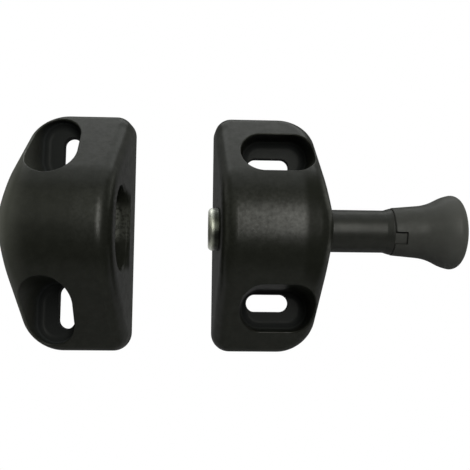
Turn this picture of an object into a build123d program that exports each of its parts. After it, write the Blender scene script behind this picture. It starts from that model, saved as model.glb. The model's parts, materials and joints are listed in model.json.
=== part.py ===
from build123d import *
from math import cos, radians, sin, tan
import os

# Side-pull magnetic gate latch: a latch body with a sprung pull bolt, and its keeper.
# X runs along the bolt towards the knob, Z is up, and the backs lie on y = 0 facing +Y.
# The origin is on the latch's back, midway between its two screw slots.

# Housings, both halves
housing_height = 91.0
housing_width = 44.5
housing_depth = 40.0
side_draft = 4.8
flank_angle = 9.5
bulge_radius = 36.0
outer_corner_radius = 14.8
gap_corner_radius = 7.0
barrel_radius = 29.5
slope_angle = 45.0
front_edge_radius = 5.6
wall = 3.0
rib = 2.4

# Where the halves and the bolt stand
gap_between_backs = 30.6
bolt_axis_offset = 0.5

# Screw slots and the pockets that sink the screw heads
slot_width = 6.6
slot_length = 16.4
pocket_floor = 4.0
pocket_draft = 4.0
pocket_floor_round = 3.0
pocket_mouth_round = 0.4
latch_slot_to_outer = 23.0
latch_slot_to_end = 18.7
latch_pocket_length = 25.0
latch_pocket_width = 14.3
latch_pocket_to_outer = 20.7
latch_pocket_to_end = 16.45
keeper_slot_to_outer = 20.1
keeper_slot_to_end = 16.5
keeper_pocket_length = 22.4
keeper_pocket_width = 15.5
keeper_pocket_to_outer = 17.15
keeper_pocket_to_end = 14.5

# Bolt nose and rod
bolt_diameter = 15.5
running_gap = 0.08
bore_mouth_round = 0.6
nose_reach = 1.6
nose_length = 9.4
nose_edge_radius = 1.6
shank_diameter = 9.0
shank_length = 14.0
shank_fit = 0.02
shank_end_gap = 0.5
nose_pin_diameter = 3.0
nose_pin_sunk = 0.45

# Spring chamber and the rings on the rod
chamber_start = 8.5
chamber_to_outer = 7.5
chamber_half_height = 11.5
chamber_front_wall = 4.0
ring_outer_diameter = 21.6
ring_gap = 0.2
buffer_thickness = 1.3
seat_thickness = 1.5
clip_thickness = 1.2
clip_groove_depth = 0.7
clip_mouth = 12.4
spring_wire = 1.0
spring_mean_diameter = 18.2
spring_coils = 7.0
spring_end_gap = 0.02

# Pull knob, its collar and the key between them
rod_showing = 20.6
collar_length = 2.8
collar_flare = 17.0
collar_round = 0.5
spigot_diameter = 13.0
spigot_length = 18.5
spigot_gap = 0.05
spigot_end_gap = 0.2
knob_neck_radius = 8.75
knob_neck_round = 0.5
knob_taper_length = 9.4
knob_taper_radius = 9.55
knob_flare_length = 16.5
knob_flare_radius = 11.75
knob_rim_from_neck = 21.2
knob_rim_radius = 13.5
knob_length = 24.9
knob_end_radius = 10.35
knob_dome = 0.6
notch_width = 4.7
notch_length = 4.2
notch_turn = 21.0
lug_width = 3.8
lug_radius = 8.3
lug_root = 0.5
lug_gap = 0.2

# Keeper socket and magnet pack
socket_height = 30.5
socket_width = 20.5
socket_depth = 18.5
socket_mouth_round = 1.2
keeper_rib_from_gap = 8.5
magnet_web = 1.5
magnet_to_outer = 13.5
magnet_width = 12.0
magnet_height = 26.0
pole_thickness = 2.0
pole_height = 22.0
pole_overhang = 1.0
pack_gap = 0.2

# Retainer plate and its screws
retainer_thickness = 2.2
retainer_height = 21.0
retainer_lap = 0.4
retainer_to_outer = 5.4
retainer_corner_radius = 1.5
post_diameter = 7.0
screw_to_outer = 8.5
screw_height = 6.5
screw_diameter = 2.9
screw_length = 9.0
screw_end_gap = 0.5
screw_hole_gap = 0.2
screw_head_diameter = 5.6
screw_head_height = 1.9
screw_head_round = 0.8
cross_length = 3.2
cross_width = 0.8
cross_depth = 1.0

# How far cuts run past a face, and how closely edges are picked out
cut_margin = 1.0
edge_tolerance = 0.02
mouth_tolerance = 0.05
seam_steepness = 0.9

# Values that follow from the ones above
half_height = housing_height / 2
flank = radians(flank_angle)
slope = radians(slope_angle)
bulge_x = housing_width - bulge_radius
corner_z = half_height - outer_corner_radius
corner_x = bulge_x + (bulge_radius - outer_corner_radius - corner_z * sin(flank)) / cos(flank)
bolt_axis_depth = housing_depth / 2 + bolt_axis_offset
bolt_radius = bolt_diameter / 2
bore_radius = bolt_radius + running_gap
latch_slot_x = housing_width - latch_slot_to_outer
latch_slot_z = half_height - latch_slot_to_end
keeper_slot_x = housing_width - keeper_slot_to_outer
keeper_slot_z = half_height - keeper_slot_to_end
gap_x = -latch_slot_x
keeper_gap_x = gap_x - gap_between_backs
nose_end = nose_length - nose_reach
nose_pin_x = nose_end + shank_length / 2
chamber_end = housing_width - chamber_to_outer
clip_end = chamber_end - buffer_thickness
clip_start = clip_end - clip_thickness
seat_start = clip_start - seat_thickness
knob_start = housing_width + rod_showing
magnet_start = socket_depth + magnet_web
magnet_end = housing_width - magnet_to_outer
retainer_face = bolt_axis_depth - magnet_width / 2 - pole_thickness
screw_x = housing_width - screw_to_outer


def on_ray(centre, radius, angle):
    """Point at an angle in degrees on a circle in the front view."""
    turn = radians(angle)
    return (centre[0] + radius * cos(turn), centre[1] + radius * sin(turn))


def outline(inset):
    """D-shaped outline in the front view, gap side on the left at x = inset."""
    top = half_height - inset
    small = gap_corner_radius - inset
    large = outer_corner_radius - inset
    bulge = bulge_radius - inset
    side = inset + small
    upper = (corner_x, corner_z)
    lower = (corner_x, -corner_z)
    middle = (bulge_x, 0)
    turn = 90 - flank_angle
    edges = [
        Line((inset, small - top), (inset, top - small)),
        CenterArc((side, top - small), small, 90, 90),
        Line((side, top), (corner_x, top)),
        CenterArc(upper, large, flank_angle, turn),
        Line(on_ray(upper, large, flank_angle), on_ray(middle, bulge, flank_angle)),
        CenterArc(middle, bulge, -flank_angle, 2 * flank_angle),
        Line(on_ray(middle, bulge, -flank_angle), on_ray(lower, large, -flank_angle)),
        CenterArc(lower, large, -90, turn),
        Line((corner_x, -top), (side, -top)),
        CenterArc((side, small - top), small, 180, 90),
    ]
    return make_face(edges)


def side_profile(inset):
    """Side view of a housing: a barrel over the bolt with straight slopes to both ends."""
    radius = barrel_radius - inset
    axis = barrel_radius - housing_depth
    meet = (axis - radius * cos(slope), radius * sin(slope))
    end = meet[1] - meet[0] / tan(slope)
    edges = [
        Line((0, -end), (meet[0], -meet[1])),
        ThreePointArc((meet[0], -meet[1]), (axis - radius, 0), meet),
        Line(meet, (0, end)),
        Line((0, end), (0, -end)),
    ]
    return make_face(edges)


def sharp_housing(inset):
    """Drafted outline cut to the side profile, gap side at x = inset."""
    block = extrude(Plane.XZ * outline(inset), housing_depth, taper=side_draft)
    arch = extrude(Plane.YZ * side_profile(inset), housing_width)
    return block & arch


def is_front_rim(edge):
    """True for an edge between the front and the sides."""
    ends = (edge @ 0, edge @ 1)
    on_back = max(point.Y for point in ends) > -edge_tolerance
    junction = barrel_radius * sin(slope)
    on_junction = all(abs(abs(point.Z) - junction) < edge_tolerance for point in ends)
    return not on_back and not (on_junction and edge.geom_type == GeomType.LINE)


def rounded_housing():
    """Outer shape of either half, gap side at x = 0."""
    block = sharp_housing(0)
    rim = [edge for edge in block.edges() if is_front_rim(edge)]
    return fillet(rim, front_edge_radius)


def front_plane(depth):
    """Plane at a depth in front of the back, facing the front."""
    return Plane(origin=(0, -depth, 0), x_dir=(1, 0, 0), z_dir=(0, -1, 0))


def bolt_plane(x):
    """Plane across the bolt axis at x, facing +X."""
    return Plane(origin=(x, -bolt_axis_depth, 0), x_dir=(0, 1, 0), z_dir=(1, 0, 0))


def bolt_axis():
    """Axis of the bolt, towards the knob."""
    return Axis((0, -bolt_axis_depth, 0), (1, 0, 0))


def rod(start, end, radius):
    """Round bar on the bolt axis."""
    return extrude(bolt_plane(start) * Circle(radius), end - start)


def ring(start, end, outer, inner):
    """Flat ring on the bolt axis."""
    return rod(start, end, outer) - rod(start, end, inner)


def box(x, y, z):
    """Box between two values on each axis."""
    solid = Box(x[1] - x[0], y[1] - y[0], z[1] - z[0])
    return Pos((x[0] + x[1]) / 2, (y[0] + y[1]) / 2, (z[0] + z[1]) / 2) * solid


def latch_pocket(side):
    """Place, size and turn of a latch pocket, upper or lower."""
    x = housing_width - latch_pocket_to_outer
    z = side * (half_height - latch_pocket_to_end)
    return (x, z, latch_pocket_length, latch_pocket_width, 0)


def keeper_pocket(side):
    """Place, size and turn of a keeper pocket, upper or lower."""
    x = housing_width - keeper_pocket_to_outer
    z = side * (half_height - keeper_pocket_to_end)
    return (x, z, keeper_pocket_length, keeper_pocket_width, 90)


def screw_pocket(x, z, length, width, turn):
    """Drafted pocket from its rounded floor out through the front."""
    face = front_plane(pocket_floor) * Pos(x, z) * SlotOverall(length, width, rotation=turn)
    tool = extrude(face, housing_depth, taper=-pocket_draft)
    foot = tool.edges().group_by(Axis.Y)[-1]
    return fillet(foot, pocket_floor_round)


def is_pocket_mouth(edge, pocket):
    """True for an edge where a pocket's wall comes out through the front."""
    x, z, length, width, turn = pocket
    point = edge @ 0.5
    depth = -point.Y
    along = abs(point.X - x)
    across = abs(point.Z - z)
    if turn:
        along, across = across, along
    past_end = max(along - (length - width) / 2, 0)
    reach = (past_end ** 2 + across ** 2) ** 0.5
    wall_reach = width / 2 + (depth - pocket_floor) * tan(radians(pocket_draft))
    rise = abs((edge @ 0).Y - (edge @ 1).Y)
    is_seam = edge.geom_type == GeomType.LINE and rise > seam_steepness * edge.length
    above_floor = depth > pocket_floor + pocket_floor_round
    return above_floor and abs(reach - wall_reach) < mouth_tolerance and not is_seam


def cut_pockets(body, pockets):
    """Sinks the screw pockets into a solid housing and rounds their mouths."""
    for pocket in pockets:
        body -= screw_pocket(*pocket)
    mouths = [edge for edge in body.edges() if any(is_pocket_mouth(edge, pocket) for pocket in pockets)]
    return fillet(mouths, pocket_mouth_round)


def pocket_boss(x, z, length, width, turn):
    """Solid block around a pocket, from the back through the front."""
    grow = 2 * rib
    face = front_plane(0) * Pos(x, z) * SlotOverall(length + grow, width + grow, rotation=turn)
    return extrude(face, housing_depth, taper=-pocket_draft / 2)


def screw_slot(x, z, turn):
    """Straight slot through a pocket's floor."""
    face = front_plane(-cut_margin) * Pos(x, z) * SlotOverall(slot_length, slot_width, rotation=turn)
    return extrude(face, pocket_floor + 2 * cut_margin)


def is_on_gap_face(edge, half_tall, half_deep):
    """True for an edge of an opening on the gap face, around the bolt axis."""
    point = edge @ 0.5
    off_face = point.X + point.Y * tan(radians(side_draft))
    in_height = abs(point.Z) < half_tall + edge_tolerance
    in_depth = abs(point.Y + bolt_axis_depth) < half_deep + edge_tolerance
    return abs(off_face) < edge_tolerance and in_height and in_depth


def latch_housing():
    """Latch body with guide walls, spring chamber and sunk screw slots."""
    hollow = sharp_housing(wall)
    guide = chamber_half_height + rib
    hollow -= box((0, housing_width), (-housing_depth, 0), (-guide, guide))
    for side in (1, -1):
        hollow -= pocket_boss(*latch_pocket(side))
    body = cut_pockets(rounded_housing(), [latch_pocket(1), latch_pocket(-1)])
    body -= rod(-cut_margin, housing_width + cut_margin, bore_radius)
    mouth = [edge for edge in body.edges() if is_on_gap_face(edge, bore_radius, bore_radius)]
    body = fillet(mouth, bore_mouth_round) - hollow
    chamber_depth = (chamber_front_wall - housing_depth, cut_margin)
    body -= box((chamber_start, chamber_end), chamber_depth, (-chamber_half_height, chamber_half_height))
    for side in (1, -1):
        body -= screw_slot(latch_slot_x, side * latch_slot_z, 0)
    return body


def socket_face(grow):
    """Upright socket section across the bolt axis."""
    return SlotOverall(socket_height + grow, socket_width + grow, rotation=90)


def magnet_cell():
    """Space for the magnet pack, open to the back and to the socket."""
    half = magnet_height / 2 + pack_gap
    window = pole_height / 2 + pack_gap
    front = -bolt_axis_depth - magnet_width / 2 - pole_thickness
    end = magnet_end + pack_gap
    cell = box((magnet_start, end), (front, cut_margin), (-half, half))
    return cell + box((socket_depth - cut_margin, end), (front, pack_gap - retainer_face), (-window, window))


def at_screw(depth, side):
    """Place of a retainer screw, upper or lower, at a depth in front of the back."""
    return front_plane(depth) * Pos(screw_x, side * screw_height)


def keeper_hollow():
    """Cored space in the back of the keeper, less its tunnel, ribs, posts and pocket blocks."""
    hollow = sharp_housing(wall)
    tunnel = magnet_height / 2 + pack_gap + rib
    tunnel_span = (socket_depth - rib, magnet_end + pack_gap + rib)
    hollow -= extrude(bolt_plane(0) * socket_face(2 * rib), magnet_start)
    hollow -= box(tunnel_span, (-housing_depth, 0), (-tunnel, tunnel))
    rib_span = (keeper_rib_from_gap, keeper_rib_from_gap + rib)
    for side in (1, -1):
        reach = sorted((side * socket_height / 2, side * half_height))
        hollow -= box(rib_span, (-housing_depth, 0), reach)
        hollow -= extrude(at_screw(retainer_face, side) * Circle(post_diameter / 2), housing_depth)
        hollow -= pocket_boss(*keeper_pocket(side))
    return hollow


def retainer_seat():
    """Space for the retainer plate, open to the back."""
    half = retainer_height / 2 + pack_gap
    span = (magnet_start - retainer_lap - pack_gap, housing_width - retainer_to_outer + pack_gap)
    return box(span, (-retainer_face, cut_margin), (-half, half))


def keeper_housing():
    """Keeper with its socket, magnet cell and sunk screw slots."""
    body = cut_pockets(rounded_housing(), [keeper_pocket(1), keeper_pocket(-1)])
    body -= extrude(bolt_plane(-cut_margin) * socket_face(0), socket_depth + cut_margin)
    mouth = [edge for edge in body.edges() if is_on_gap_face(edge, socket_height / 2, socket_width / 2)]
    body = fillet(mouth, socket_mouth_round) - keeper_hollow() - magnet_cell() - retainer_seat()
    hole_depth = screw_length - retainer_thickness + screw_end_gap
    for side in (1, -1):
        body -= extrude(at_screw(retainer_face, side) * Circle(screw_diameter / 2), hole_depth)
        body -= screw_slot(keeper_slot_x, side * keeper_slot_z, 90)
    return body


def keeper_magnet():
    """Ferrite block behind the socket."""
    half = magnet_width / 2
    depth = (-bolt_axis_depth - half, -bolt_axis_depth + half)
    return box((magnet_start, magnet_end), depth, (-magnet_height / 2, magnet_height / 2))


def pole_plate(side):
    """Steel plate on one face of the magnet, its edge standing into the socket."""
    near = -bolt_axis_depth - side * magnet_width / 2
    far = near - side * pole_thickness
    span = (magnet_start - pole_overhang, magnet_end)
    return box(span, sorted((near, far)), (-pole_height / 2, pole_height / 2))


def retainer_plate():
    """Plate that holds the magnet pack in from the back."""
    plate = box(
        (magnet_start - retainer_lap, housing_width - retainer_to_outer),
        (-retainer_face, retainer_thickness - retainer_face),
        (-retainer_height / 2, retainer_height / 2),
    )
    plate = fillet(plate.edges().filter_by(Axis.Y), retainer_corner_radius)
    for side in (1, -1):
        plate -= extrude(at_screw(0, side) * Circle(screw_diameter / 2 + screw_hole_gap), housing_depth)
    return plate


def retainer_screw(side):
    """Pan-head screw that fixes the retainer plate."""
    seat = retainer_face - retainer_thickness
    shank = extrude(at_screw(seat, side) * Circle(screw_diameter / 2), screw_length)
    head = extrude(at_screw(seat, side) * Circle(screw_head_diameter / 2), -screw_head_height)
    head = fillet(head.edges().group_by(Axis.Y)[-1], screw_head_round)
    cross = Rectangle(cross_length, cross_width) + Rectangle(cross_width, cross_length)
    return shank + head - extrude(at_screw(seat - screw_head_height, side) * cross, cross_depth)


def nose_pin(depth, length):
    """Bar across the rod and the nose's shank, from a depth in front of the back."""
    return extrude(front_plane(depth) * Pos(nose_pin_x, 0) * Circle(nose_pin_diameter / 2), length)


def cross_pin():
    """Pin that holds the nose to the rod, its ends sunk below the rod's surface."""
    half = bolt_radius - nose_pin_sunk
    return nose_pin(bolt_axis_depth - half, 2 * half)


def bolt_nose():
    """Steel nose of the bolt with its shank."""
    head = rod(-nose_reach, nose_end, bolt_radius)
    head = fillet(head.edges().group_by(Axis.X)[0], nose_edge_radius)
    shank = rod(nose_end, nose_end + shank_length, shank_diameter / 2)
    return head + shank - nose_pin(0, housing_depth)


def pull_rod():
    """Moulded rod from the nose to the knob, with clip groove, collar, spigot and key lug."""
    socket_end = nose_end + shank_length + shank_end_gap
    foot = bolt_plane(knob_start - collar_length) * Circle(bolt_radius)
    collar = extrude(foot, collar_length, taper=-collar_flare)
    collar = fillet(collar.edges().group_by(Axis.X)[-1], collar_round)
    bar = rod(nose_end, knob_start, bolt_radius) + collar
    bar += rod(knob_start, knob_start + spigot_length, spigot_diameter / 2)
    bar -= rod(nose_end, socket_end, shank_diameter / 2 + shank_fit)
    bar -= ring(clip_start, clip_end, bolt_radius + cut_margin, bolt_radius - clip_groove_depth)
    bar -= nose_pin(0, housing_depth)
    return bar + key_lug()


def key_lug():
    """Lug on the rod in the lower part of the knob's notch."""
    start = knob_start - lug_root
    end = knob_start + notch_length - lug_gap
    foot = lug_gap - notch_width / 2
    depth = (-bolt_axis_depth - lug_radius, lug_root - bolt_axis_depth - spigot_diameter / 2)
    lug = box((start, end), depth, (foot, foot + lug_width)) & rod(start, end, lug_radius)
    return lug.rotate(bolt_axis(), notch_turn)


def knob_notch():
    """Notch in the edge of the knob's neck."""
    notch = box(
        (knob_start - cut_margin, knob_start + notch_length),
        (-bolt_axis_depth - knob_rim_radius, -bolt_axis_depth),
        (-notch_width / 2, notch_width / 2),
    )
    return notch.rotate(bolt_axis(), notch_turn)


def knob_profile():
    """Half section of the knob, from the axis out."""
    corner = (knob_start, knob_neck_radius - knob_neck_round)
    neck = (knob_start + knob_neck_round, knob_neck_radius)
    end = (knob_start + knob_length, knob_end_radius)
    tip = (end[0] + knob_dome, 0)
    taper = Line(neck, (knob_start + knob_taper_length, knob_taper_radius))
    flare = TangentArc(taper @ 1, (knob_start + knob_flare_length, knob_flare_radius), tangent=taper % 1)
    shoulder = TangentArc(flare @ 1, (knob_start + knob_rim_from_neck, knob_rim_radius), tangent=flare % 1)
    rim = TangentArc(shoulder @ 1, end, tangent=shoulder % 1)
    dome_radius = (knob_end_radius ** 2 + knob_dome ** 2) / (2 * knob_dome)
    return make_face([
        Line((knob_start, 0), corner),
        RadiusArc(corner, neck, knob_neck_round),
        taper,
        flare,
        shoulder,
        rim,
        RadiusArc(end, tip, dome_radius),
        Line(tip, (knob_start, 0)),
    ])


def pull_knob():
    """Flared pull knob with a thick rounded rim."""
    body = revolve(front_plane(bolt_axis_depth) * knob_profile(), bolt_axis())
    spigot_end = knob_start + spigot_length + spigot_end_gap
    body -= rod(knob_start - cut_margin, spigot_end, spigot_diameter / 2 + spigot_gap)
    return body - knob_notch()


def return_spring():
    """Coil spring between the front guide wall and the spring seat."""
    margin = spring_wire / 2 + spring_end_gap
    length = seat_start - chamber_start - 2 * margin
    start = (chamber_start + margin, -bolt_axis_depth, 0)
    path = Helix(length / spring_coils, length, spring_mean_diameter / 2, center=start, direction=(1, 0, 0))
    section = Plane(origin=path @ 0, z_dir=path % 0) * Circle(spring_wire / 2)
    return sweep(section, path, is_frenet=True)


def retaining_clip():
    """Open clip snapped into the rod's groove."""
    clip = ring(clip_start, clip_end, ring_outer_diameter / 2, bolt_radius - clip_groove_depth)
    return clip - box((clip_start, clip_end), (-bolt_axis_depth, 0), (-clip_mouth / 2, clip_mouth / 2))


def rod_ring(start, end):
    """Loose ring around the rod."""
    return ring(start, end, ring_outer_diameter / 2, bolt_radius + ring_gap)


def main():
    latch = {
        "latch_housing": latch_housing(),
        "bolt_nose": bolt_nose(),
        "nose_pin": cross_pin(),
        "pull_rod": pull_rod(),
        "pull_knob": pull_knob(),
        "return_spring": return_spring(),
        "spring_seat": rod_ring(seat_start, clip_start),
        "retaining_clip": retaining_clip(),
        "stop_buffer": rod_ring(clip_end, chamber_end),
    }
    keeper = {
        "keeper_housing": keeper_housing(),
        "keeper_magnet": keeper_magnet(),
        "pole_plate_front": pole_plate(1),
        "pole_plate_rear": pole_plate(-1),
        "magnet_retainer": retainer_plate(),
        "retainer_screw_upper": retainer_screw(1),
        "retainer_screw_lower": retainer_screw(-1),
    }
    os.makedirs("parts", exist_ok=True)
    for name, shape in latch.items():
        export_step(Pos(gap_x, 0, 0) * shape, f"parts/{name}.step")
    for name, shape in keeper.items():
        export_step(Pos(keeper_gap_x, 0, 0) * mirror(shape, Plane.YZ), f"parts/{name}.step")


main()
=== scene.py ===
import json
import math

import bpy
from mathutils import Matrix, Vector


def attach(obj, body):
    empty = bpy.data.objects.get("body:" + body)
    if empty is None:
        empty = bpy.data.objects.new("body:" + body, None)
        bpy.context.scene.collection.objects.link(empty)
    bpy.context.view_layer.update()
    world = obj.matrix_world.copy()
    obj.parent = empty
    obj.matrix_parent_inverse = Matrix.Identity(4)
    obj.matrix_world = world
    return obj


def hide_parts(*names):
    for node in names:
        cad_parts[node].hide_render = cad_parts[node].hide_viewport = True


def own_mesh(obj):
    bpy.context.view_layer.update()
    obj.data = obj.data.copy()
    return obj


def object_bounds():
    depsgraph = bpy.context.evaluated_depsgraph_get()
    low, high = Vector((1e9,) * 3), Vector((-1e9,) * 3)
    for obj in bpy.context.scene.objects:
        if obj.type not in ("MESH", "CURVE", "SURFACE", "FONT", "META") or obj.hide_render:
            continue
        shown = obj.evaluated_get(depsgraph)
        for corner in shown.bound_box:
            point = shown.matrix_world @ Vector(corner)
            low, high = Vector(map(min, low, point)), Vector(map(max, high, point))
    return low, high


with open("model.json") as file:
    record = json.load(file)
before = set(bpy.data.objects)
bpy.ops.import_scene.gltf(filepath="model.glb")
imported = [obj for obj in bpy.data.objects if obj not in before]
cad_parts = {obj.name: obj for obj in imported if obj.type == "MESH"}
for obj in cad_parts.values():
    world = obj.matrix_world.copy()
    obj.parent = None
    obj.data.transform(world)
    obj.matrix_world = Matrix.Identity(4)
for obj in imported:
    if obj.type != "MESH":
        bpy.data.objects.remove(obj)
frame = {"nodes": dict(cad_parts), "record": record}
cad_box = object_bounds()

# Camera, found by laying the solids' outline over the photograph's: place, degrees, millimetres, metres
CAMERA_AT = (-0.02164, -0.25181, -0.024)
CAMERA_YAW = 2.079
CAMERA_PITCH = 5.442
CAMERA_ROLL = 0.575
CAMERA_LENS = 49.0
CAMERA_SENSOR = 36.0
CAMERA_NEAR = 0.01
CAMERA_FAR = 20.0

# Stage: a white backdrop behind the part and a pale floor well below it
BACKDROP_BEHIND = 0.45
BACKDROP_SPAN = 14.0
BACKDROP_PAPER = 0.8
FLOOR_BELOW = 0.9
FLOOR_SPAN = 1.5
FLOOR_TONES = (0.78, 0.82)

# Softboxes that face the part: degrees right of straight in front and up, width, height, radiance, colour
LAMP_DISTANCE = 0.85
WARM = (1.0, 1.0, 0.93)
GREEN = (1.0, 1.03, 0.86)
COOL = (0.97, 1.0, 0.98)
LAMPS = {
    "key_softbox": (11.0, 12.0, 0.28, 0.62, 9.5, WARM),
    "front_softbox": (0.0, 30.0, 1.3, 0.75, 0.8, GREEN),
    "left_softbox": (-85.0, 12.0, 0.7, 0.9, 0.9, GREEN),
    "right_softbox": (110.0, 12.0, 0.7, 0.9, 1.6, GREEN),
    "top_softbox": (0.0, 92.0, 0.9, 0.9, 1.4, COOL),
    "rear_softbox": (0.0, 115.0, 0.9, 0.26, 4.0, COOL),
}

# Dim room around the stage, and the heights of view between which it turns from dark to lighter
ROOM_BELOW = (0.03, 0.03, 0.03, 1)
ROOM_ABOVE = (0.15, 0.15, 0.15, 1)
ROOM_RISE = (-0.5, 0.7)

# Bolt axis, in front of the backs
AXIS_DEPTH = 0.0205

# Screw pockets in the front view: middle of the upper one, half its middle line, and its radius
LATCH_POCKETS = ((0.0023, 0.02905), (0.00535, 0.0), 0.0066)
KEEPER_POCKETS = ((-0.07945, 0.031), (0.0, 0.00345), 0.0072)
POCKET_EDGE = 0.0012
POCKET_FLOOR = (-0.0150, -0.0095)

# Zones of the housings: low and high limit along X (across), Y (depth) or Z (upright), and the width of
# the soft edge where it has two
LIP_ACROSS = (-0.0600, -0.0526, 0.0003)
LIP_DEPTH = (-0.0150, -0.0085, 0.001)
LIP_UPRIGHT = (-0.0125, 0.0125, 0.0035)
# Heights of the painted pool of light inside the keeper's socket
SOCKET_LIGHT_UPRIGHT = (-0.001, 0.0075, 0.004)
# Where the painted highlight in the socket ends
SOCKET_HIGHLIGHT_END = (-0.0578, -0.0560)
BARREL_UPRIGHT = (-0.006, 0.010, 0.006)
HANDLED_START = (-0.004, 0.008)
MOTTLED_START = (-0.0720, -0.0660)
FLANK_ACROSS = (0.0116, 0.0142, 0.0028)
FLANK_UPRIGHT = (-0.014, 0.014, 0.008)
STREAK_ACROSS = (-0.0660, -0.0590, 0.003)
# Span across which the keeper's outer end takes its painted light
KEEPER_LIGHT_FADE = (-0.0966, -0.0786)

# Limits along X on the bolt: where the painted shade starts on the nose, the knob's neck, and its flare
NOSE_SHADE_START = (-0.0221, -0.0203)
KNOB_NECK = (0.0433, 0.0436)
# The knob's flare is where the rim's painted light rises
KNOB_FLARE = (0.0536, 0.0676)

# Patterns: scale, detail and roughness
HOUSING_GRAIN = (2400.0, 3.0, 0.6)
PULL_GRAIN = (2800.0, 3.0, 0.6)
FLECKS = (800.0, 3.0, 0.55)
PATCHES = (330.0, 3.0, 0.6)
STEEL_GRAIN = (1800.0, 3.0)
STEEL_CLOUDS = (260.0, 4.0)
PLATE_CLOUDS = (300.0, 4.0)
WIRE_CLOUDS = (500.0, 3.0)
RUBBER_CLOUDS = (900.0, 4.0)
FERRITE_PITS = (1200.0, 5.0, 0.65)
FLOOR_CLOUDS = (3.0, 3.0)
TURNING_RINGS = 9000.0
PATCH_SPREAD = (0.3, 0.7)
SOCKET_LIGHT_SPREAD = (0.25, 0.62)

# Colours of the housings
SKIN_DARK = (0.0092, 0.0098, 0.0080, 1)
SKIN_PALE = (0.0104, 0.0110, 0.0090, 1)
# Painted light: the keeper's outer end is painted paler, where light from the left catches it
KEEPER_END_PAINTED_LIGHT = (0.0850, 0.0865, 0.0780, 1)
# Painted light: the pocket walls are painted far paler than the skin, in place of fill light that doesn't
# reach into the pockets; the floors, which the lamps reach, get a darker tone with only a little painted
# light
LATCH_POCKET_PAINTED_LIGHT = (0.070, 0.074, 0.073, 1)
KEEPER_POCKET_PAINTED_LIGHT = (0.068, 0.075, 0.080, 1)
POCKET_BOTTOM = (0.0140, 0.0150, 0.0152, 1)
# Painted light: a pool of light painted on the socket's inner wall, and a painted highlight at its far
# end
SOCKET_PAINTED_LIGHT = (0.032, 0.033, 0.029, 1)
SOCKET_PAINTED_HIGHLIGHT = (0.090, 0.092, 0.084, 1)

# Colours of the rod and knob
ROD_DARK = (0.0170, 0.0175, 0.0162, 1)
ROD_PALE = (0.0200, 0.0205, 0.0190, 1)
KNOB_DARK = (0.0375, 0.0380, 0.0366, 1)
KNOB_PALE = (0.0415, 0.0420, 0.0405, 1)
# Painted light: the knob's rim is painted lighter, where light from the right catches it
KNOB_RIM_PAINTED_LIGHT = (0.0560, 0.0565, 0.0548, 1)

# Colours of the metals
NOSE_DARK = (0.30, 0.31, 0.27, 1)
NOSE_PALE = (0.44, 0.45, 0.40, 1)
# Painted shade: the nose behind its tip is painted dark, where the housing's edge shades it
NOSE_PAINTED_SHADE = (0.034, 0.037, 0.031, 1)
PLATE_DARK = (0.46, 0.47, 0.49, 1)
PLATE_PALE = (0.62, 0.63, 0.65, 1)
WIRE_DARK = (0.3, 0.3, 0.3, 1)
WIRE_PALE = (0.46, 0.46, 0.45, 1)

# Gloss of the housings: weight of the coat, what a zone or pattern adds, and how much a dull zone takes
SHEEN = 0.108
HANDLED_SHEEN = 0.018
STREAK_SHEEN = 0.035
FLECK_SHEEN = 0.05
MOTTLED_SHEEN = 0.13
PATCH_SHEEN = 0.06
GRAIN_SHEEN = 0.04
DULLED = 0.85

# Gloss of the rod, what the knob has less, and what a pattern adds
ROD_SHEEN = 0.09
KNOB_LESS_SHEEN = 0.05
PULL_PATCH_SHEEN = 0.05
PULL_GRAIN_SHEEN = 0.04

# Depth of the skins' relief, in metres
PATCH_RELIEF = 0.00004
GRAIN_RELIEF = 0.00003
RING_RELIEF = 0.00001
RUBBER_RELIEF = 0.00004
FERRITE_RELIEF = 0.00005


class Signal:
    """A socket that takes part in shader maths: each operator adds one Math node."""

    def __init__(self, finish, socket):
        self.finish = finish
        self.socket = socket

    def math(self, operation, *values):
        return self.finish.node("ShaderNodeMath", {"operation": operation}, dict(enumerate(values)))

    def __add__(self, other):
        return self.math("ADD", self, other)

    def __radd__(self, other):
        return self.math("ADD", other, self)

    def __sub__(self, other):
        return self.math("SUBTRACT", self, other)

    def __rsub__(self, other):
        return self.math("SUBTRACT", other, self)

    def __mul__(self, other):
        return self.math("MULTIPLY", self, other)

    def __rmul__(self, other):
        return self.math("MULTIPLY", other, self)

    def clamp(self):
        return self.math("MINIMUM", self.math("MAXIMUM", self, 0.0), 1.0)

    def sine(self):
        return self.math("SINE", self)

    def size(self):
        return self.math("ABSOLUTE", self)

    def root(self):
        return self.math("SQRT", self)

    def beyond(self, limit):
        """How far it is past a limit, 0 before it."""
        return self.math("MAXIMUM", self - limit, 0.0)

    def swing(self, width):
        """A pattern's swing about its middle, over a width."""
        return width * (self - 0.5)


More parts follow.
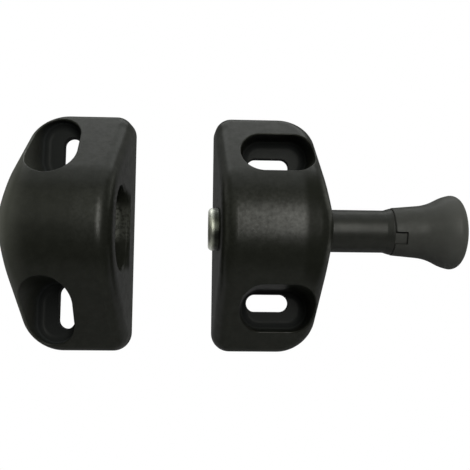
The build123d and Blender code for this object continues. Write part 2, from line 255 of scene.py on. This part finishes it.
class Finish:
    """A material or world, with one call for each node of its tree."""

    def __init__(self, owner):
        owner.use_nodes = True
        self.owner = owner
        self.tree = owner.node_tree
        self.tree.nodes.clear()

    def node(self, kind, settings=None, inputs=None, output=0):
        made = self.tree.nodes.new(kind)
        for name, value in (settings or {}).items():
            setattr(made, name, value)
        for name, value in (inputs or {}).items():
            if isinstance(value, Signal):
                self.tree.links.new(value.socket, made.inputs[name])
            else:
                made.inputs[name].default_value = value
        if not made.outputs:
            return None
        return Signal(self, made.outputs[output])

    def place(self):
        return self.node("ShaderNodeTexCoord", output="Object")

    def part(self, vector, axis):
        """One of a vector's X, Y and Z."""
        return self.node("ShaderNodeSeparateXYZ", None, {0: vector}, axis)

    def from_axis(self, where):
        """Distance from the bolt axis."""
        flat = self.node("ShaderNodeVectorMath", {"operation": "MULTIPLY_ADD"},
                         {0: where, 1: (0, 1, 1), 2: (0, AXIS_DEPTH, 0)})
        return self.node("ShaderNodeVectorMath", {"operation": "LENGTH"}, {0: flat}, "Value")

    def in_pockets(self, x, z, centre, half, radius):
        """1 inside a pair of pockets, upper and lower, in the front view."""
        across = (x - centre[0]).size().beyond(half[0])
        upright = (z.size() - centre[1]).size().beyond(half[1])
        reach = (across * across + upright * upright).root()
        return 1.0 - self.ramp(reach, radius, radius + POCKET_EDGE)

    def within(self, signal, low, high, edge):
        """1 between two values, smooth over an edge at both."""
        return self.ramp(signal, low - edge, low) * (1.0 - self.ramp(signal, high, high + edge))

    def noise(self, where, scale, detail, roughness=0.5):
        inputs = {"Vector": where, "Scale": scale, "Detail": detail, "Roughness": roughness}
        return self.node("ShaderNodeTexNoise", None, inputs, "Fac")

    def ramp(self, signal, low, high):
        """0 below low, 1 above high, smooth between."""
        settings = {"interpolation_type": "SMOOTHSTEP"}
        inputs = {"Value": signal, "From Min": low, "From Max": high}
        return self.node("ShaderNodeMapRange", settings, inputs)

    def mix(self, factor, first, second):
        return self.node("ShaderNodeMix", {"data_type": "RGBA"}, {0: factor, 6: first, 7: second}, 2)

    def bump(self, height, distance, strength, normal=None):
        inputs = {"Height": height, "Distance": distance, "Strength": strength}
        if normal is not None:
            inputs["Normal"] = normal
        return self.node("ShaderNodeBump", None, inputs)

    def surface(self, **inputs):
        """Ends the tree in a principled surface; names are given with _ for spaces."""
        named = {key.replace("_", " "): value for key, value in inputs.items()}
        shader = self.node("ShaderNodeBsdfPrincipled", None, named)
        self.node("ShaderNodeOutputMaterial", None, {"Surface": shader})
        return self.owner


def grey(value):
    return (value, value, value, 1)


def new_finish(name):
    return Finish(bpy.data.materials.new(name))


def housing_plastic():
    """Black satin moulding with a fine grain and dull pockets; painted light on the pocket walls, on the
    keeper's outer end and on a patch in the socket, with a painted highlight at the socket's far end.
    """
    f = new_finish("housing_plastic")
    where = f.place()
    x, y, z = (f.part(where, axis) for axis in "XYZ")
    grain = f.noise(where, *HOUSING_GRAIN)
    fleck = f.noise(where, *FLECKS)
    patch = f.noise(where, *PATCHES)

    in_latch = f.in_pockets(x, z, *LATCH_POCKETS)
    in_keeper = f.in_pockets(x, z, *KEEPER_POCKETS)
    pocket = (in_latch + in_keeper).clamp()
    floor = pocket * f.ramp(y, *POCKET_FLOOR)
    lip = f.within(x, *LIP_ACROSS) * f.within(y, *LIP_DEPTH) * f.within(z, *LIP_UPRIGHT)
    # Painted light: the patch of the socket's wall where light falls in
    socket_light = lip * f.within(z, *SOCKET_LIGHT_UPRIGHT) * f.ramp(fleck, *SOCKET_LIGHT_SPREAD)
    # Painted highlight at the socket's far end
    socket_highlight = socket_light * (1.0 - f.ramp(x, *SOCKET_HIGHLIGHT_END))
    lit_outer_end = 1.0 - f.ramp(x, *KEEPER_LIGHT_FADE)
    barrel = f.within(z, *BARREL_UPRIGHT)
    handled = barrel * f.ramp(x, *HANDLED_START)
    mottled = barrel * f.ramp(x, *MOTTLED_START)
    streak = barrel * f.within(x, *STREAK_ACROSS)
    flank = f.within(z, *FLANK_UPRIGHT) * f.within(x, *FLANK_ACROSS)

    colour = f.mix(f.ramp(patch, *PATCH_SPREAD), SKIN_DARK, SKIN_PALE)
    # Painted light on the keeper's outer end
    colour = f.mix(lit_outer_end * lit_outer_end, colour, KEEPER_END_PAINTED_LIGHT)
    # Painted light on the pocket walls, then a darker tone on the pocket floors
    colour = f.mix(in_latch, colour, LATCH_POCKET_PAINTED_LIGHT)
    colour = f.mix(in_keeper, colour, KEEPER_POCKET_PAINTED_LIGHT)
    colour = f.mix(floor, colour, POCKET_BOTTOM)
    # Painted light in the socket
    colour = f.mix(socket_light, colour, SOCKET_PAINTED_LIGHT)
    # Painted highlight in the socket
    colour = f.mix(socket_highlight, colour, SOCKET_PAINTED_HIGHLIGHT)

    sheen = SHEEN + HANDLED_SHEEN * handled + STREAK_SHEEN * streak
    sheen = sheen + fleck.swing(FLECK_SHEEN + MOTTLED_SHEEN * mottled)
    sheen = sheen + patch.swing(PATCH_SHEEN) + grain.swing(GRAIN_SHEEN)
    sheen = sheen * (1.0 - DULLED * (pocket + lip).clamp()) * (1.0 - DULLED * flank)

    normal = f.bump(patch, PATCH_RELIEF, 0.5)
    normal = f.bump(grain, GRAIN_RELIEF, 0.5, normal)
    return f.surface(Base_Color=colour, Roughness=0.6, Normal=normal, Specular_IOR_Level=0.0,
                     Coat_Weight=sheen, Coat_Roughness=0.32, Coat_IOR=2.0)


def pull_plastic():
    """Dark grey moulding: a satin rod and a knob with a paler, duller skin, painted lighter towards its
    rim as painted light.
    """
    f = new_finish("pull_plastic")
    where = f.place()
    x = f.part(where, "X")
    grain = f.noise(where, *PULL_GRAIN)
    patch = f.noise(where, *PATCHES)
    patchy = f.ramp(patch, *PATCH_SPREAD)
    knob = f.ramp(x, *KNOB_NECK)
    # Painted light towards the knob's rim
    knob_skin_with_rim_light = f.mix(f.ramp(x, *KNOB_FLARE), f.mix(patchy, KNOB_DARK, KNOB_PALE), KNOB_RIM_PAINTED_LIGHT)
    colour = f.mix(knob, f.mix(patchy, ROD_DARK, ROD_PALE), knob_skin_with_rim_light)
    sheen = ROD_SHEEN - KNOB_LESS_SHEEN * knob
    sheen = sheen + patch.swing(PULL_PATCH_SHEEN) + grain.swing(PULL_GRAIN_SHEEN)
    normal = f.bump(grain, GRAIN_RELIEF, 0.5)
    return f.surface(Base_Color=colour, Roughness=0.7, Normal=normal, Specular_IOR_Level=0.0,
                     Coat_Weight=sheen, Coat_Roughness=0.34, Coat_IOR=2.0)


def turned_steel():
    """Dull plated steel with turning rings about the bolt axis, painted dark behind the tip as painted
    shade where the housing's edge shades it.
    """
    f = new_finish("nose_steel")
    where = f.place()
    rings = (f.from_axis(where) * TURNING_RINGS).sine()
    fine = f.noise(where, *STEEL_GRAIN)
    cloud = f.noise(where, *STEEL_CLOUDS)
    nose_shade = f.ramp(f.part(where, "X"), *NOSE_SHADE_START)
    # Painted shade on the nose behind its tip
    colour = f.mix(nose_shade, f.mix(cloud, NOSE_DARK, NOSE_PALE), NOSE_PAINTED_SHADE)
    roughness = 0.42 + cloud.swing(0.2) + fine.swing(0.1)
    normal = f.bump(rings * 0.5 + fine, RING_RELIEF, 0.4)
    return f.surface(Base_Color=colour, Metallic=1.0, Roughness=roughness, Normal=normal)


def plated_steel():
    """Bright zinc plate, a little clouded."""
    f = new_finish("plated_steel")
    cloud = f.noise(f.place(), *PLATE_CLOUDS)
    colour = f.mix(cloud, PLATE_DARK, PLATE_PALE)
    return f.surface(Base_Color=colour, Metallic=1.0, Roughness=0.3 + cloud.swing(0.16))


def spring_steel():
    """Drawn wire with a dull bloom."""
    f = new_finish("spring_steel")
    cloud = f.noise(f.place(), *WIRE_CLOUDS)
    colour = f.mix(cloud, WIRE_DARK, WIRE_PALE)
    return f.surface(Base_Color=colour, Metallic=1.0, Roughness=0.32 + cloud.swing(0.2))


def buffer_rubber():
    """Matte black rubber."""
    f = new_finish("buffer_rubber")
    cloud = f.noise(f.place(), *RUBBER_CLOUDS)
    colour = f.mix(cloud, grey(0.018), grey(0.034))
    normal = f.bump(cloud, RUBBER_RELIEF, 0.5)
    return f.surface(Base_Color=colour, Roughness=0.75 + cloud.swing(0.1), Normal=normal)


def ferrite():
    """Dull sintered magnet with a coarse pitted skin."""
    f = new_finish("ferrite")
    pits = f.noise(f.place(), *FERRITE_PITS)
    colour = f.mix(pits, grey(0.035), grey(0.085))
    normal = f.bump(pits, FERRITE_RELIEF, 0.6)
    return f.surface(Base_Color=colour, Roughness=0.6 + pits.swing(0.2), Normal=normal)


def give_finishes():
    """Puts each CAD node's finish in its material slot."""
    finishes = {
        "housing_plastic": housing_plastic(),
        "pull_plastic": pull_plastic(),
        "nose_steel": turned_steel(),
        "plated_steel": plated_steel(),
        "spring_steel": spring_steel(),
        "buffer_rubber": buffer_rubber(),
        "ferrite": ferrite(),
    }
    finishes["pole_steel"] = finishes["plated_steel"]
    for row in frame["record"]["subparts"]:
        node = frame["nodes"][row["node"]]
        node.data.materials.clear()
        node.data.materials.append(finishes[row["material_slot"]])


def coil_spring():
    """Return spring, copied from the CAD node with a mesh of its own and hung on the mounted halves in
    its place.
    """
    node = frame["nodes"]["return_spring"]
    coil = bpy.data.objects.new("coil_spring", node.data.copy())
    coil.matrix_world = node.matrix_world.copy()
    bpy.context.scene.collection.objects.link(coil)
    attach(coil, "mounted_halves")
    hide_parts("return_spring")
    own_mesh(coil)


def stage_plane(name, span, at, turn):
    """Square plane of the stage, turned about X."""
    half = span / 2
    corners = [(-half, -half, 0), (half, -half, 0), (half, half, 0), (-half, half, 0)]
    mesh = bpy.data.meshes.new(name)
    mesh.from_pydata(corners, [], [(0, 1, 2, 3)])
    plane = bpy.data.objects.new(name, mesh)
    plane.location = at
    plane.rotation_euler = (turn, 0, 0)
    bpy.context.scene.collection.objects.link(plane)
    return plane


def pale_floor():
    """Pale matte floor that keeps the part's shadow."""
    f = new_finish("pale_floor")
    cloud = f.noise(f.place(), *FLOOR_CLOUDS)
    dark, pale = (grey(tone) for tone in FLOOR_TONES)
    return f.surface(Base_Color=f.mix(cloud, dark, pale), Roughness=0.9)


def shown_to_eye(f):
    """1 for rays that the camera, a gloss or a clear piece sends, else 0."""
    camera, gloss, clear = (f.node("ShaderNodeLightPath", output=name)
                            for name in ("Is Camera Ray", "Is Glossy Ray", "Is Transmission Ray"))
    return (camera + gloss + clear).clamp()


def white_backdrop():
    """Backdrop that reads as white and lights the part like matte paper."""
    f = new_finish("white_backdrop")
    paper = f.node("ShaderNodeBsdfDiffuse", None, {"Color": grey(BACKDROP_PAPER)})
    white = f.node("ShaderNodeEmission", None, {"Color": grey(1.0), "Strength": 1.0})
    shader = f.node("ShaderNodeMixShader", None, {0: shown_to_eye(f), 1: paper, 2: white})
    f.node("ShaderNodeOutputMaterial", None, {"Surface": shader})
    return f.owner


def set_stage():
    lowest = cad_box[0].z
    floor = stage_plane("floor", FLOOR_SPAN, (0, 0, lowest - FLOOR_BELOW), 0)
    floor.data.materials.append(pale_floor())
    wall = stage_plane("backdrop", BACKDROP_SPAN, (0, BACKDROP_BEHIND, 0), math.pi / 2)
    wall.data.materials.append(white_backdrop())


def set_room():
    """Dim room around the stage, lighter above than below."""
    world = bpy.data.worlds.new("room")
    bpy.context.scene.world = world
    f = Finish(world)
    height = f.part(f.node("ShaderNodeTexCoord", output="Generated"), "Z")
    colour = f.mix(f.ramp(height, *ROOM_RISE), ROOM_BELOW, ROOM_ABOVE)
    room = f.node("ShaderNodeBackground", None, {"Color": colour, "Strength": 1.0})
    f.node("ShaderNodeOutputWorld", None, {"Surface": room})


def soft_lamp(name, azimuth, elevation, width, height, radiance, colour):
    """Softbox that faces the part; azimuth is to the right of straight in front."""
    turn, rise = math.radians(azimuth), math.radians(elevation)
    away = Vector((math.sin(turn) * math.cos(rise), -math.cos(turn) * math.cos(rise), math.sin(rise)))
    data = bpy.data.lights.new(name, "AREA")
    data.shape = "RECTANGLE"
    data.size = width
    data.size_y = height
    data.energy = radiance * math.pi * width * height
    data.color = colour
    lamp = bpy.data.objects.new(name, data)
    centre = (cad_box[0] + cad_box[1]) / 2
    lamp.location = centre + away * LAMP_DISTANCE
    lamp.rotation_mode = "QUATERNION"
    lamp.rotation_quaternion = (-away).to_track_quat("-Z", "Y")
    bpy.context.scene.collection.objects.link(lamp)


def set_camera():
    yaw, pitch, roll = (math.radians(angle) for angle in (CAMERA_YAW, CAMERA_PITCH, CAMERA_ROLL))
    ahead = Vector((math.sin(yaw) * math.cos(pitch), math.cos(yaw) * math.cos(pitch), math.sin(pitch)))
    level = ahead.cross(Vector((0, 0, 1))).normalized()
    upright = level.cross(ahead)
    right = level * math.cos(roll) + upright * math.sin(roll)
    up = upright * math.cos(roll) - level * math.sin(roll)
    data = bpy.data.cameras.new("camera")
    data.lens = CAMERA_LENS
    data.sensor_width = CAMERA_SENSOR
    data.clip_start = CAMERA_NEAR
    data.clip_end = CAMERA_FAR
    camera = bpy.data.objects.new("camera", data)
    turned = Matrix((right, up, -ahead)).transposed().to_4x4()
    camera.matrix_world = Matrix.Translation(CAMERA_AT) @ turned
    bpy.context.scene.collection.objects.link(camera)
    bpy.context.scene.camera = camera


give_finishes()
coil_spring()
set_stage()
set_room()
for lamp_name, lamp_row in LAMPS.items():
    soft_lamp(lamp_name, *lamp_row)
set_camera()
bpy.context.scene.view_settings.view_transform = "Standard"

bpy.context.view_layer.update()
